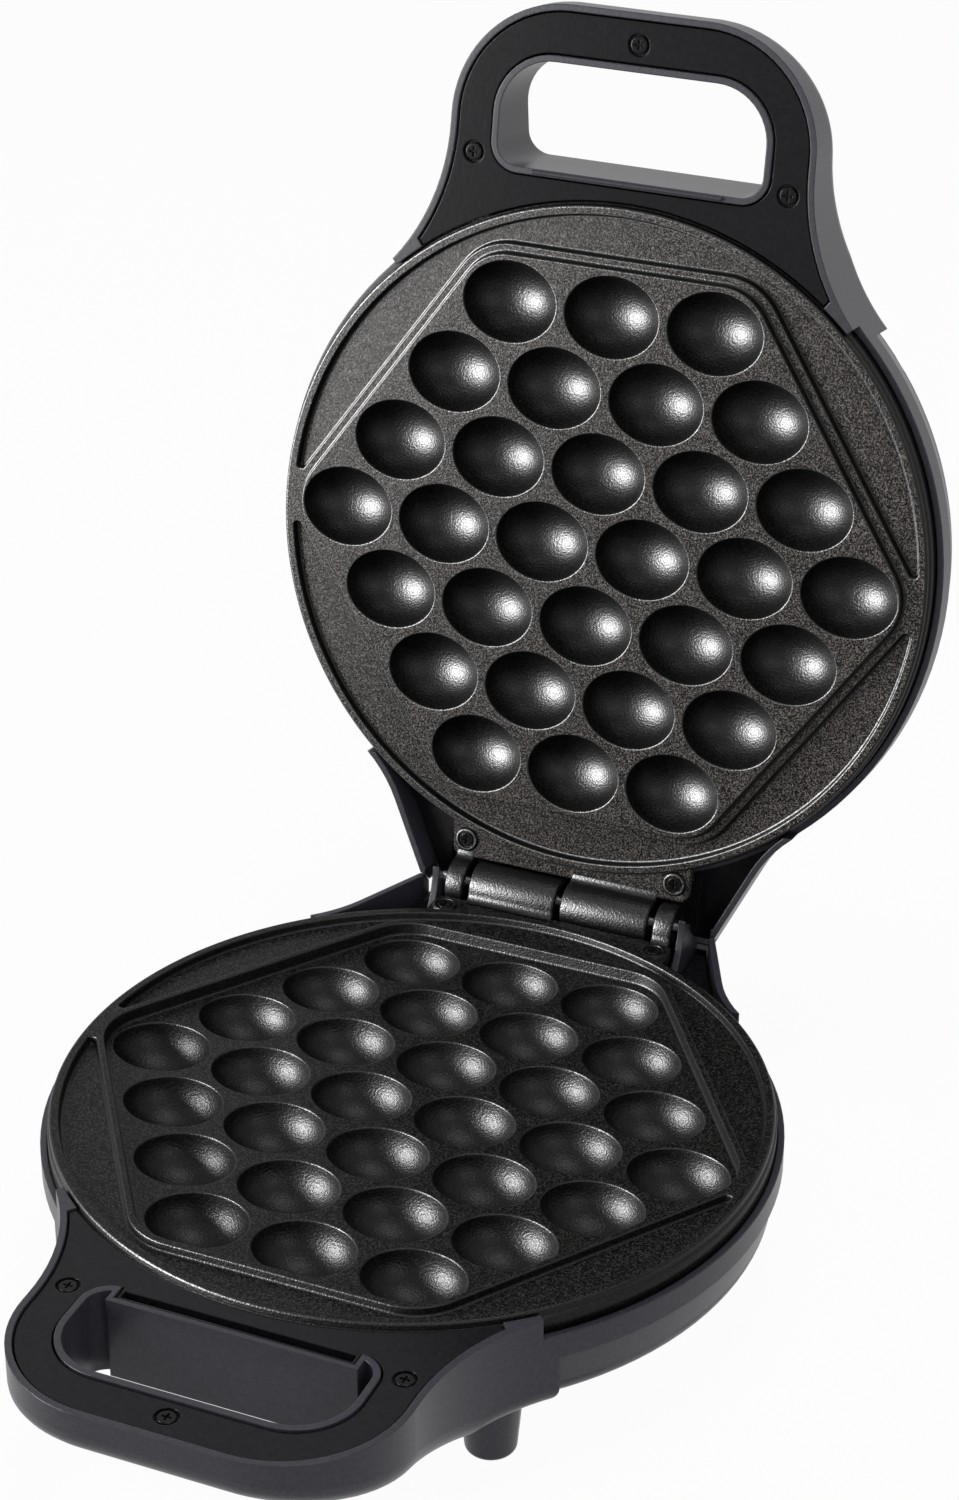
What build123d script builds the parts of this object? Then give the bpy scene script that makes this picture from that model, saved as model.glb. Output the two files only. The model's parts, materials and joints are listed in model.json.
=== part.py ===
from build123d import *
from math import cos, degrees, hypot, radians, sin, sqrt, tan
import os

os.makedirs("parts", exist_ok=True)

# Bubble waffle maker: two like halves on one hinge, modelled open.
# Each half is drawn face up about the plate centre, with the parting plane at z = 0.

# Round body of a half
CASING_R = 110.5        # outer radius at the lip
CASING_WALL = 2.0
LIP_DROP = 8.0          # lip below the parting plane
LIP_BAND = 8.0          # height of the proud band under the lip
BAND_STEP = 0.5
BODY_DEPTH = 32.5
BODY_LEAN = 2.8         # how far the wall leans in down to its bottom edge
BODY_EDGE_R = 6.0

# Loop handle
HANDLE_HALF = 58.8
HANDLE_REACH = 55.5     # of the handle past the body
HANDLE_CORNER_R = 37.0
HANDLE_FLARE_R = 70.0   # hollow curve from the body into the handle
HANDLE_DEPTH = 14.8     # at the front; the underside falls from there to the body's bottom
HANDLE_FALL = 15.6      # degrees
HANDLE_EDGE_R = 8.5
BORDER_DROP = 1.2       # handle border below the parting plane
TAB_TURN = 47.1         # raised tab at the end of the border, degrees below the side
TAB_ARC = 5.6

# Finger slot and the groove beside it
SLOT_SIDE = 13.8        # bar between the slot and the handle's side
SLOT_BAR = 15.7         # bar in front of the slot
SLOT_BRIDGE = 2.9       # between the body and the slot
SLOT_FRONT_R = 19.0
SLOT_BACK_R = 9.0
SLOT_RIM = 2.0
GROOVE_SIDE = 8.5       # from the slot's side to the groove bay
GROOVE_REACH = 5.1      # how far the groove bay reaches into the slot
GROOVE_STRIP = 1.5
GROOVE_DEPTH = 3.4
GROOVE_MARGIN = 0.8
BEAD_SIDE = 14.0        # low bead on the lid's slot rim, from the slot's side
BEAD_W = 0.9
BEAD_RISE = 1.3

# Black inserts
COVER_DROP = 1.8
COVER_T = 2.0
COVER_FIT = 0.6
REAR_COVER_DROP = 10.6
REAR_COVER_T = 1.8
REAR_COVER_PAST = 3.6   # past the hinge axis

# Rear neck and hinge
NECK_HALF = 52.0        # at the hinge axis
NECK_TAPER = 25.0       # degrees that the sides close in toward the rear
NECK_FLARE_R = 45.0
NECK_CORNER_R = 12.0
LID_NECK_DEPTH = 19.0
LID_NECK_EDGE_R = 8.0
SLOPE_DROP = 17.0       # the stop face ends this far below the parting plane
HINGE_PAST = 9.4        # hinge axis past the body
OPEN_ANGLE = 100.2
STOP_GAP = 0.3
BACK_OPENING = 11.0     # the back wall stays this far from the hinge axis
PIN_R = 2.0
PIN_RUN = 0.05
PIN_SEAT = 0.02
BARREL_R = 7.5
BARREL_SIDE = 22.0      # from the end of a long barrel to the neck's side
KNUCKLE_LEN = 6.5
KNUCKLE_GAP = 2.0
CHEEK_T = 2.2
CHEEK_R = 9.5
CHEEK_GAP = 2.2
CHEEK_FOOT = 15.5
PIN_INTO_CHEEK = 1.2

# Cast plate
PLATE_GAP = 0.3         # between the two rims when shut
RIM_BORDER = 5.9        # from the lip in to the rim's inner edge
RIM_TOP = 2.2
RIM_SHOULDER = 0.8
FLANGE_DROP = 2.6
SKIRT_DROP = 9.4
SKIRT_T = 2.4
SKIRT_FIT = 0.3
PLATE_T = 3.4
SEGMENT_DROP = 2.6      # floor of the segment recesses below the rim
FIELD_RISE = 2.7        # upper field above its rim
FIELD_SINK = 4.2        # lower field below its rim
FIELD_SIDE, FIELD_END = 16.4, 14.7    # upper field's edge from the end bubbles, at its sides and its ends
WELL_SIDE, WELL_END = 17.4, 16.1      # the same for the lower field, which takes the upper one
BAND_SIDE, BAND_END = 19.6, 17.5      # outer edge of the band round the upper field
RIDGE_SIDE, RIDGE_END = 19.6, 18.7    # outer edge of the ridge round the lower field
TIP_Y = 9.0             # where the segment recesses end beside the side corners
TIP_R = 1.0
PITCH_SHARE = 0.3221    # bubble pitch over the rim's inner radius
ROW_SHARE = 0.7344      # the next three are over the pitch
BUBBLE_SHARE = 0.4541
BUBBLE_WIDTH = 0.8235   # short half axis over the long one
BUBBLE_DEPTH = 12.0
BUBBLE_WALL = 2.3
ROWS = [3, 4, 5, 6, 5, 4, 3]
TAB_SIDE = 11.0         # from the hinge tab's side to the neck's side
TAB_DROP = 1.5          # hinge tab below the rim
TAB_T = 3.8
TAB_PLAY = 0.6          # from the hinge tab to the barrels
LUG_TURN = 63.0         # degrees below the side, under the cover
LUG_PAST = 6.4          # lug screw past the skirt
LUG_R = 4.2
LUG_T = 2.0
LUG_TOP = 5.6

# Screws
SIDE_SCREW = (7.9, 7.4)   # in from the handle's side, and past the body
END_SCREW = 9.6           # in from the handle's end
HINGE_SCREW = (15.8, 14.1)  # in from the neck's side, and short of the hinge axis
HEAD_R = 2.7
HEAD_H = 1.2
SHANK_R = 1.5
SHANK_L = 8.0
SHANK_FIT = 0.06
RECESS_R = 3.5
RECESS_H = 1.3
SMALL_HEAD_R = 2.3
RING_R = 3.8            # raised ring round a hinge screw
RING_RISE = 0.8
RING_BORE_R = 2.9
RING_BORE_H = 1.0
CROSS_L = 3.0
CROSS_W = 0.7
CROSS_H = 0.8
BOSS_R = 3.3

# Heating parts
HEATER_SHARE = 0.5928   # of the rim's inner radius
HEATER_TUBE = 3.2
HEATER_GAP = 0.15
HEATER_OPEN = 24.0      # degrees left open at the rear
HEATER_SEAT_W = 9.0
HEATER_Z = 20.8
TERMINAL_R = 1.6
TERMINAL_L = 3.4
CLAMP_TURNS = [30, 150, 270]
CLAMP_L = 18.0
CLAMP_SCREW_IN = 9.5     # screw this far inside the tube's ring
CLAMP_W = 7.0
CLAMP_T = 1.0
CLAMP_PAD_R = 3.4
REFLECTOR_IN = 22.5     # its edge in from the lip
REFLECTOR_T = 0.6
REFLECTOR_Z = 27.6
REFLECTOR_RISE = 2.0
REFLECTOR_HOLE_R = 14.0
POST_R = 4.0
POST_IN = 10.0          # in from the reflector's edge
POST_TURNS = [45, 165, 285]
THERMO_R = 8.0
THERMO_H = 5.4
THERMO_PAD_R = 9.5
FUSE_R = 2.0
FUSE_L = 12.0
FUSE_Y = 30.0
LEAD_R = 1.1

# Base only
REST_H = 55.0           # table to parting plane
FOOT_TOP_R = 9.6
FOOT_END_R = 7.4
FOOT_EDGE_R = 1.8
FRONT_FOOT = (14.5, 52.83)  # in from the lip, and degrees below the side
REAR_FOOT = (13.5, 3.1)   # in from the neck's side, and past the hinge axis
PAD_R = 5.2
PAD_SUNK = 1.2
PAD_PROUD = 0.8
INLET_R = 3.0
INLET_WALL = 1.1
INLET_FLANGE = 0.8
INLET_FLANGE_T = 1.2
INLET_L = 8.0
INLET_Z = 23.3
INLET_SEAT = 0.02
BLOCK_SIZE = (26.0, 10.0, 9.0)
BLOCK_IN = 15.0         # terminal block in from the lip
GATE_HALF = 14.0        # opening for the leads in the bowl's rear wall
GATE_TOP = 12.0
LEAD_SPREAD = 5.0

# Lid only
LENS_R = 3.5
LENS_RIM = 1.0
LENS_PROUD = 0.9
LENS_X = 9.0
LENS_IN = 26.5          # in from the lip
LAMP_R = 2.4
LAMP_H = 1.4

# Worked out from the values above
BETA = radians(OPEN_ANGLE / 2)
TAPER = radians(NECK_TAPER)
PLATE_TOP = -PLATE_GAP / 2
SKIRT_R = CASING_R - CASING_WALL - SKIRT_FIT
RIM_IN_R = CASING_R - RIM_BORDER
HINGE_Y = CASING_R + HINGE_PAST
SLOPE_END = HINGE_Y + SLOPE_DROP / tan(BETA)
HANDLE_END = CASING_R + HANDLE_REACH
SLOT_HALF = HANDLE_HALF - SLOT_SIDE
SLOT_BACK = CASING_R + SLOT_BRIDGE
SLOT_FRONT = HANDLE_END - SLOT_BAR
GROOVE_HALF = SLOT_HALF - GROOVE_SIDE
REAR_COVER_END = HINGE_Y + REAR_COVER_PAST
BARREL_LEN = NECK_HALF - BARREL_SIDE
TAB_HALF = NECK_HALF - TAB_SIDE
TAB_END = HINGE_Y - BARREL_R - TAB_PLAY
TAB_TOP = PLATE_TOP - TAB_DROP
LONG_END = KNUCKLE_GAP / 2 + BARREL_LEN
SHORT_END = LONG_END + KNUCKLE_GAP + KNUCKLE_LEN
CHEEK_X = SHORT_END + CHEEK_GAP
BUBBLE_PITCH = RIM_IN_R * PITCH_SHARE
BUBBLE_ROW = BUBBLE_PITCH * ROW_SHARE
BUBBLE_A = BUBBLE_PITCH * BUBBLE_SHARE
BUBBLE_B = BUBBLE_A * BUBBLE_WIDTH
LUG_REACH = SKIRT_R + LUG_PAST
HEATER_R = RIM_IN_R * HEATER_SHARE
REFLECTOR_R = CASING_R - REFLECTOR_IN
POST_RING = REFLECTOR_R - POST_IN
BLOCK_Y = CASING_R - BLOCK_IN
LENS_Y = LENS_IN - CASING_R
COVER_SCREWS = [(HANDLE_HALF - SIDE_SCREW[0], -CASING_R - SIDE_SCREW[1]),
                (SIDE_SCREW[0] - HANDLE_HALF, -CASING_R - SIDE_SCREW[1]), (0, END_SCREW - HANDLE_END)]
REACH = 400.0           # longer than the part, for cutting blocks
EPS = 0.01


def bend(centre, p, q):
    """Arc from p to q about centre, the shorter way round."""
    r = hypot(p[0] - centre[0], p[1] - centre[1])
    mx, my = (p[0] + q[0]) / 2 - centre[0], (p[1] + q[1]) / 2 - centre[1]
    k = r / hypot(mx, my)
    return ThreePointArc(p, (centre[0] + mx * k, centre[1] + my * k), q)


def both_sides(half):
    """A closed face from the right half's edges, given as functions of a side."""
    edges = []
    for side in (1, -1):
        for centre, p, q in half:
            c, p, q = ((side * v[0], v[1]) if v else None for v in (centre, p, q))
            edges.append(bend(c, p, q) if c else Line(p, q))
    return edges


def handle_meet(inset):
    """Where the handle's flare, drawn inward by inset, meets the body, and the flare's centre."""
    fx = HANDLE_HALF + HANDLE_FLARE_R
    fy = -sqrt((CASING_R + HANDLE_FLARE_R) ** 2 - fx**2)
    k = (CASING_R - inset) / (CASING_R + HANDLE_FLARE_R)
    return (fx * k, fy * k), (fx, fy)


def handle_face(inset):
    """Handle outline with its flares, drawn inward by inset; the chord lies inside the body."""
    meet, flare = handle_meet(inset)
    c = (HANDLE_HALF - HANDLE_CORNER_R, HANDLE_CORNER_R - HANDLE_END)
    side, front = HANDLE_HALF - inset, inset - HANDLE_END
    edges = both_sides([
        (None, (0, meet[1]), meet),
        (flare, meet, (side, flare[1])),
        (None, (side, flare[1]), (side, c[1])),
        (c, (side, c[1]), (c[0], front)),
        (None, (c[0], front), (0, front)),
    ])
    return make_face(Wire(edges))


def neck_meet(inset):
    """Where the neck's flare, drawn inward by inset, meets the body, and the flare's centre."""
    n = (cos(TAPER), sin(TAPER))
    out = NECK_HALF * n[0] + HINGE_Y * n[1] + NECK_FLARE_R
    along = sqrt((CASING_R + NECK_FLARE_R) ** 2 - out**2)
    flare = (out * n[0] - along * n[1], out * n[1] + along * n[0])
    k = (CASING_R - inset) / (CASING_R + NECK_FLARE_R)
    return (flare[0] * k, flare[1] * k), flare


def neck_face(inset):
    """Rear neck outline with its tapered sides, drawn inward by inset; the chord lies inside the body."""
    meet, flare = neck_meet(inset)
    n = (cos(TAPER), sin(TAPER))
    r, rear = NECK_CORNER_R - inset, SLOPE_END - inset
    y = SLOPE_END - NECK_CORNER_R
    x = (NECK_HALF * n[0] + HINGE_Y * n[1] - NECK_CORNER_R - y * n[1]) / n[0]
    d = NECK_FLARE_R + inset
    side = (flare[0] - d * n[0], flare[1] - d * n[1])
    turn = (x + r * n[0], y + r * n[1])
    edges = both_sides([
        (None, (0, meet[1]), meet),
        (flare, meet, side),
        (None, side, turn),
        ((x, y), turn, (x, rear)),
        (None, (x, rear), (0, rear)),
    ])
    return make_face(Wire(edges))


def slot_face(inset):
    """Finger slot outline, drawn inward by inset."""
    side, back, front = SLOT_HALF - inset, -SLOT_BACK - inset, -SLOT_FRONT + inset
    b = (SLOT_HALF - SLOT_BACK_R, -SLOT_BACK - SLOT_BACK_R)
    f = (SLOT_HALF - SLOT_FRONT_R, -SLOT_FRONT + SLOT_FRONT_R)
    edges = both_sides([
        (None, (0, back), (b[0], back)),
        (b, (b[0], back), (side, b[1])),
        (None, (side, b[1]), (side, f[1])),
        (f, (side, f[1]), (f[0], front)),
        (None, (f[0], front), (0, front)),
    ])
    return make_face(Wire(edges))


def slab(face, low, high):
    """Face extruded between two heights."""
    return extrude(Pos(0, 0, low) * face, amount=high - low)


def block(x0, x1, y0, y1, z0, z1):
    return Pos((x0 + x1) / 2, (y0 + y1) / 2, (z0 + z1) / 2) * Box(x1 - x0, y1 - y0, z1 - z0)


def rod(r, low, high, x=0.0, y=0.0):
    return Pos(x, y, (low + high) / 2) * Cylinder(r, high - low)


def side_prism(points, x0, x1):
    """Outline in the y-z plane, carried across from x0 to x1."""
    outline = [(y, z) for y, z in points]
    face = make_face(Polyline(*outline, close=True))
    return Pos(x0, 0, 0) * extrude(Plane.YZ * face, amount=x1 - x0)


def turned(points, arcs=()):
    """Revolved profile in (radius, height)."""
    edges = []
    for i, p in enumerate(points):
        q = points[(i + 1) % len(points)]
        centre = dict(arcs).get(i)
        edges.append(bend(centre, p, q) if centre else Line(p, q))
    return revolve(Plane.XZ * make_face(Wire(edges)), Axis.Z)


def above_fall(lift):
    """All the space above the handle's falling underside, raised by lift."""
    angle = radians(HANDLE_FALL)
    front = (-REACH, lift / cos(angle) - HANDLE_DEPTH + (REACH - HANDLE_END) * tan(angle))
    rear = (REACH, front[1] - 2 * REACH * tan(angle))
    return side_prism([front, rear, (REACH, REACH), (-REACH, REACH)], -REACH, REACH)


def rounded(solid, edges, radius, chord):
    """Round the given edges, but not the one along the chord."""
    return fillet([e for e in edges if abs(e.center().Y - chord) > EPS], radius)


def level_edges(solid, z):
    return solid.edges().filter_by_position(Axis.Z, z - EPS, z + EPS)


def handle_slab(inset, top):
    """Handle block, rounded all round its falling underside and, beside the body, its level one."""
    chord = handle_meet(inset)[0][1]
    low = inset - BODY_DEPTH
    level = slab(handle_face(inset), low, top)
    level = rounded(level, level_edges(level, low), BODY_EDGE_R - inset, chord)
    falling = slab(handle_face(inset), -BODY_DEPTH - BODY_DEPTH, top) & above_fall(inset)
    face = falling.faces().sort_by(Axis.Z)[0]
    falling = rounded(falling, face.edges(), HANDLE_EDGE_R - inset, chord)
    return falling & level


def neck_slab(inset, depth, radius, top):
    solid = slab(neck_face(inset), -depth, top)
    return rounded(solid, level_edges(solid, -depth), radius, neck_meet(inset)[0][1])


def stop_line(shift, distance):
    """Point of the rear stop face, moved in by shift, at a distance from the hinge axis."""
    c, s = cos(BETA), sin(BETA)
    return (HINGE_Y + distance * c - shift * s, -distance * s - shift * c)


def stop_prism(shift, top):
    """All the space in front of the rear stop face, moved in by shift, up to height top."""
    start = stop_line(shift, -(top + shift * cos(BETA)) / sin(BETA))
    end = stop_line(shift, REACH)
    return side_prism([(-REACH, top), start, end, (-REACH, end[1])], -REACH, REACH)


def beyond(turn, low, high):
    """The space on both sides from an angle below the side up to the side and past it."""
    right = Rot(0, 0, -turn) * block(0, REACH, 0, REACH, low, high)
    return right + mirror(right, Plane.YZ)


def body_shell():
    """Bowl of the round body, turned from its wall section."""
    r, w, e = CASING_R, CASING_WALL, BODY_EDGE_R
    rb, d, band = r - BODY_LEAN, BODY_DEPTH, LIP_DROP + LIP_BAND
    points = [
        (0, -d), (rb - e, -d), (rb, -d + e), (r - BAND_STEP, -band), (r, -band),
        (r, -LIP_DROP), (r - w, -LIP_DROP), (r - w, -band), (rb - w, -d + e),
        (rb - e, -d + w), (0, -d + w),
    ]
    centre = (rb - e, -d + e)
    return turned(points, ((1, centre), (8, centre)))


def body_room():
    """All the space inside the bowl, and above it."""
    r, w, e = CASING_R, CASING_WALL, BODY_EDGE_R
    rb, d, band = r - BODY_LEAN, BODY_DEPTH, LIP_DROP + LIP_BAND
    points = [(0, -d + w), (rb - e, -d + w), (rb - w, -d + e), (r - w, -band), (r - w, d), (0, d)]
    return turned(points, ((1, (rb - e, -d + e)),))


def groove_bay(grow, reach):
    """Block over the bay beside the slot, grown by grow."""
    return block(-GROOVE_HALF - grow, GROOVE_HALF + grow, -SLOT_BACK - reach,
                 -SLOT_BACK + SLOT_RIM, -BODY_DEPTH, BODY_DEPTH)


def end_tabs():
    """Raised pieces of lip that close the ends of the handle's border."""
    face = handle_face(0) + Circle(CASING_R)
    land = slab(face, -LIP_DROP, -BORDER_DROP) - rod(CASING_R - CASING_WALL, -LIP_DROP, 0)
    return (land & beyond(TAB_TURN + TAB_ARC, -LIP_DROP, 0)) - beyond(TAB_TURN, -LIP_DROP, 0)


def lug_spots():
    a = radians(LUG_TURN)
    return [(side * LUG_REACH * cos(a), -LUG_REACH * sin(a)) for side in (1, -1)]


def hinge_spots():
    inward, short = HINGE_SCREW
    return [(side * (NECK_HALF - inward), HINGE_Y - short) for side in (1, -1)]


def ring_spots(radius, turns):
    return [(radius * cos(radians(a)), radius * sin(radians(a))) for a in turns]


def casing(neck_depth, neck_edge, groove):
    """Moulded half shell with handle, slot liner, neck and screw bosses."""
    w = CASING_WALL
    floor, lip = -BODY_DEPTH + w, -LIP_DROP
    bowl = body_shell()
    well = body_room()

    handle = handle_slab(0, -BORDER_DROP) - handle_slab(w, BODY_DEPTH)
    handle -= beyond(TAB_TURN, lip, 0)
    handle += (slab(handle_face(0), lip - w, lip) & beyond(TAB_TURN, lip - w, lip))
    handle -= well

    ring = slab(slot_face(0), -BODY_DEPTH, -BORDER_DROP) & above_fall(0)
    hole = slab(slot_face(SLOT_RIM), -BODY_DEPTH, BODY_DEPTH)
    if groove:
        ring -= groove_bay(0, GROOVE_REACH)
        hole -= groove_bay(GROOVE_STRIP, GROOVE_REACH + GROOVE_STRIP)

    neck = neck_slab(0, neck_depth, neck_edge, 0) & stop_prism(STOP_GAP / 2, -BORDER_DROP)
    room = neck_slab(w, neck_depth - w, neck_edge - w, BODY_DEPTH) & stop_prism(w, BODY_DEPTH)
    gap = rod(BACK_OPENING, -NECK_HALF + w, NECK_HALF - w)
    neck = neck - room - Pos(0, HINGE_Y, 0) * Rot(0, 90, 0) * gap - well

    shell = (bowl + handle + neck + ring + end_tabs()) - hole
    shell -= block(-GATE_HALF, GATE_HALF, 0, CASING_R + w, w - neck_depth, -GATE_TOP)

    pegs = [(COVER_SCREWS, w / 2 - BODY_DEPTH, -COVER_DROP - COVER_T),
            (lug_spots(), w / 2 - BODY_DEPTH, -LUG_TOP - LUG_T),
            (hinge_spots(), w / 2 - neck_depth, TAB_TOP - TAB_T)]
    for spots, low, high in pegs:
        for x, y in spots:
            shell += rod(BOSS_R, low, high, x, y) & above_fall(w / 2)
    for spots, low, high in pegs:
        for x, y in spots:
            shell -= rod(SHANK_R + SHANK_FIT, high - SHANK_L, high, x, y)
    for x, y in ring_spots(POST_RING, POST_TURNS):
        shell += rod(POST_R, floor, -REFLECTOR_Z, x, y)
    return shell


def cheek(x0):
    """Upright beside the hinge's end knuckle, round about the axis, with a blind seat for the pin."""
    floor, r = -BODY_DEPTH + CASING_WALL, CHEEK_R
    start = (HINGE_Y - CHEEK_FOOT, -REAR_COVER_DROP)
    brow = (HINGE_Y - r * cos(BETA), r * sin(BETA))
    waist = ((start[0] + brow[0]) / 2 + r / 6, (start[1] + brow[1]) / 2 - r / 6)
    corners = [(HINGE_Y + r, 0), (HINGE_Y + r, floor), (start[0], floor), start]
    sides = [Line(p, q) for p, q in zip(corners, corners[1:])]
    head = bend((HINGE_Y, 0), brow, corners[0])
    face = make_face(Wire([ThreePointArc(start, waist, brow), head, *sides]))
    full = Pos(x0, 0, 0) * extrude(Plane.YZ * face, amount=CHEEK_T)
    disc = Pos(0, HINGE_Y, 0) * Rot(0, 90, 0) * rod(r, x0, x0 + CHEEK_T)
    return (full & stop_prism(STOP_GAP / 2, BODY_DEPTH)) + (full & disc)


def foot(x, y):
    low, high = -REST_H + PAD_PROUD, -BODY_DEPTH + BODY_EDGE_R / 2
    cone = Cone(FOOT_END_R, FOOT_TOP_R, high - low)
    cone = fillet(cone.edges().sort_by(Axis.Z)[0], FOOT_EDGE_R)
    cone = Pos(x, y, (low + high) / 2) * cone
    return cone - rod(PAD_R, low, low + PAD_SUNK, x, y)


def feet_spots():
    r, a = CASING_R - FRONT_FOOT[0], radians(FRONT_FOOT[1])
    rear = (NECK_HALF - REAR_FOOT[0], HINGE_Y + REAR_FOOT[1])
    return [(side * x, y) for x, y in ((r * cos(a), -r * sin(a)), rear) for side in (1, -1)]


def base_casing():
    shell = casing(BODY_DEPTH, BODY_EDGE_R, True)
    right = cheek(CHEEK_X)
    shell = shell + right + mirror(right, Plane.YZ)
    pin = pin_rod(PIN_R + PIN_SEAT)
    room = body_room()
    for x, y in feet_spots():
        shell += foot(x, y) - room
    shell -= pin
    return shell - inlet_rod(INLET_R + INLET_WALL + INLET_SEAT, SLOPE_END - INLET_L, SLOPE_END)


def pin_rod(r):
    half = CHEEK_X + PIN_INTO_CHEEK
    return Pos(0, HINGE_Y, 0) * Rot(0, 90, 0) * rod(r, -half, half)


def inlet_rod(r, y0, y1):
    return Pos(0, (y0 + y1) / 2, -INLET_Z) * Rot(90, 0, 0) * Cylinder(r, y1 - y0)


def cord_inlet():
    """Bush for the supply cord in the rear wall."""
    r = INLET_R + INLET_WALL
    bush = inlet_rod(r, SLOPE_END - INLET_L, SLOPE_END)
    bush += inlet_rod(r + INLET_FLANGE, SLOPE_END, SLOPE_END + INLET_FLANGE_T)
    return bush - inlet_rod(INLET_R, SLOPE_END - REACH, SLOPE_END + REACH)


def lid_casing():
    shell = casing(LID_NECK_DEPTH, LID_NECK_EDGE_R, False)
    side, edge = SLOT_HALF - BEAD_SIDE, BEAD_W - SLOT_BACK - SLOT_RIM
    bead = block(-side, side, edge - BEAD_W / 2, edge + BEAD_W / 2, -BORDER_DROP - EPS, BEAD_RISE - BORDER_DROP)
    shell += fillet(bead.edges().group_by(Axis.Z)[-1], BEAD_W / 3)
    for side in (1, -1):
        shell -= rod(LENS_R + COVER_FIT / 2, -BODY_DEPTH, -BODY_DEPTH + CASING_WALL, side * LENS_X, LENS_Y)
    return shell


def lens(side):
    cap = rod(LENS_R, -BODY_DEPTH - LENS_PROUD, -BODY_DEPTH + CASING_WALL, side * LENS_X, LENS_Y)
    cap = fillet(cap.edges().sort_by(Axis.Z)[0], LENS_PROUD / 2)
    return cap + rod(LENS_R + LENS_RIM, -BODY_DEPTH + CASING_WALL, -BODY_DEPTH + CASING_WALL + LENS_RIM,
                     side * LENS_X, LENS_Y)


def lamps():
    top = -BODY_DEPTH + CASING_WALL + LENS_RIM
    return [rod(LAMP_R, top, top + LAMP_H, side * LENS_X, LENS_Y) for side in (1, -1)]


def handle_cover(groove):
    """Flat insert in the handle; the base's one also lines the groove."""
    low, high = -COVER_DROP - COVER_T, -COVER_DROP
    plate = slab(handle_face(CASING_WALL + COVER_FIT), low, high)
    gap = slab(slot_face(-COVER_FIT), low, high)
    plate -= gap - groove_bay(-COVER_FIT, GROOVE_REACH - COVER_FIT) if groove else gap
    plate -= rod(SKIRT_R + COVER_FIT, low, high)
    plate -= beyond(TAB_TURN + TAB_ARC + degrees(COVER_FIT / CASING_R), low, high)
    if groove:
        g, m = GROOVE_HALF - COVER_FIT, GROOVE_MARGIN
        y0, y1 = COVER_FIT - SLOT_BACK - GROOVE_REACH, -SLOT_BACK
        plate += block(-g, g, y0, y1, high - GROOVE_DEPTH - m, high)
        plate -= block(-g + m, g - m, y0 + m, y1 - m, high - GROOVE_DEPTH, high)
    for x, y in COVER_SCREWS:
        plate -= rod(RECESS_R, high - RECESS_H, high, x, y)
        plate -= rod(SHANK_R + SHANK_FIT, low, high, x, y)
    return plate


def rear_cover():
    """Insert that closes the neck beside the hinge."""
    low, high = -REAR_COVER_DROP - REAR_COVER_T, -REAR_COVER_DROP
    plate = slab(neck_face(CASING_WALL + COVER_FIT), low, high)
    plate -= rod(CASING_R + COVER_FIT, low, high)
    plate -= block(-REACH, REACH, REAR_COVER_END, REACH, low, high)
    for x, y in hinge_spots():
        plate -= rod(BOSS_R + COVER_FIT, low, high, x, y)
    for side in (1, -1):
        a, b = sorted((side * (CHEEK_X - COVER_FIT), side * (CHEEK_X + CHEEK_T + COVER_FIT)))
        plate -= block(a, b, HINGE_Y - CHEEK_FOOT - COVER_FIT, REACH, low, high)
    return plate.solids()


def screw(head_r, head_h, length, x, y, z):
    """Cross-head screw, the underside of its head at height z."""
    body = rod(head_r, z, z + head_h, x, y)
    body = fillet(body.edges().sort_by(Axis.Z)[-1], head_h / 3)
    body += rod(SHANK_R, z - length, z, x, y)
    for a, b in ((CROSS_L, CROSS_W), (CROSS_W, CROSS_L)):
        body -= Pos(x, y, z + head_h) * Box(a, b, 2 * CROSS_H)
    return body


def hexagon(side, end):
    """Six-sided face round the bubbles, rounded about its corners: side and end are how far
    its edges lie from the lines through the corner bubbles."""
    wide, narrow = (max(ROWS) - 1) / 2 * BUBBLE_PITCH, (ROWS[0] - 1) / 2 * BUBBLE_PITCH
    top, drop = (len(ROWS) - 1) / 2 * BUBBLE_ROW, side - end
    narrow += drop * (wide - narrow) / top
    top -= drop
    corners = [(wide, 0), (narrow, top), (-narrow, top), (-wide, 0), (-narrow, -top), (narrow, -top)]
    return offset(make_face(Polyline(*corners, close=True)), amount=side, kind=Kind.ARC)


def bubble_spots():
    for i, n in enumerate(ROWS):
        for j in range(n):
            yield (j - (n - 1) / 2) * BUBBLE_PITCH, (i - (len(ROWS) - 1) / 2) * BUBBLE_ROW


def bubble(grow):
    """Half an ellipsoid hanging under the field."""
    return scale(Sphere(1), by=(BUBBLE_A + grow, BUBBLE_B + grow, BUBBLE_DEPTH + grow))


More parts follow.
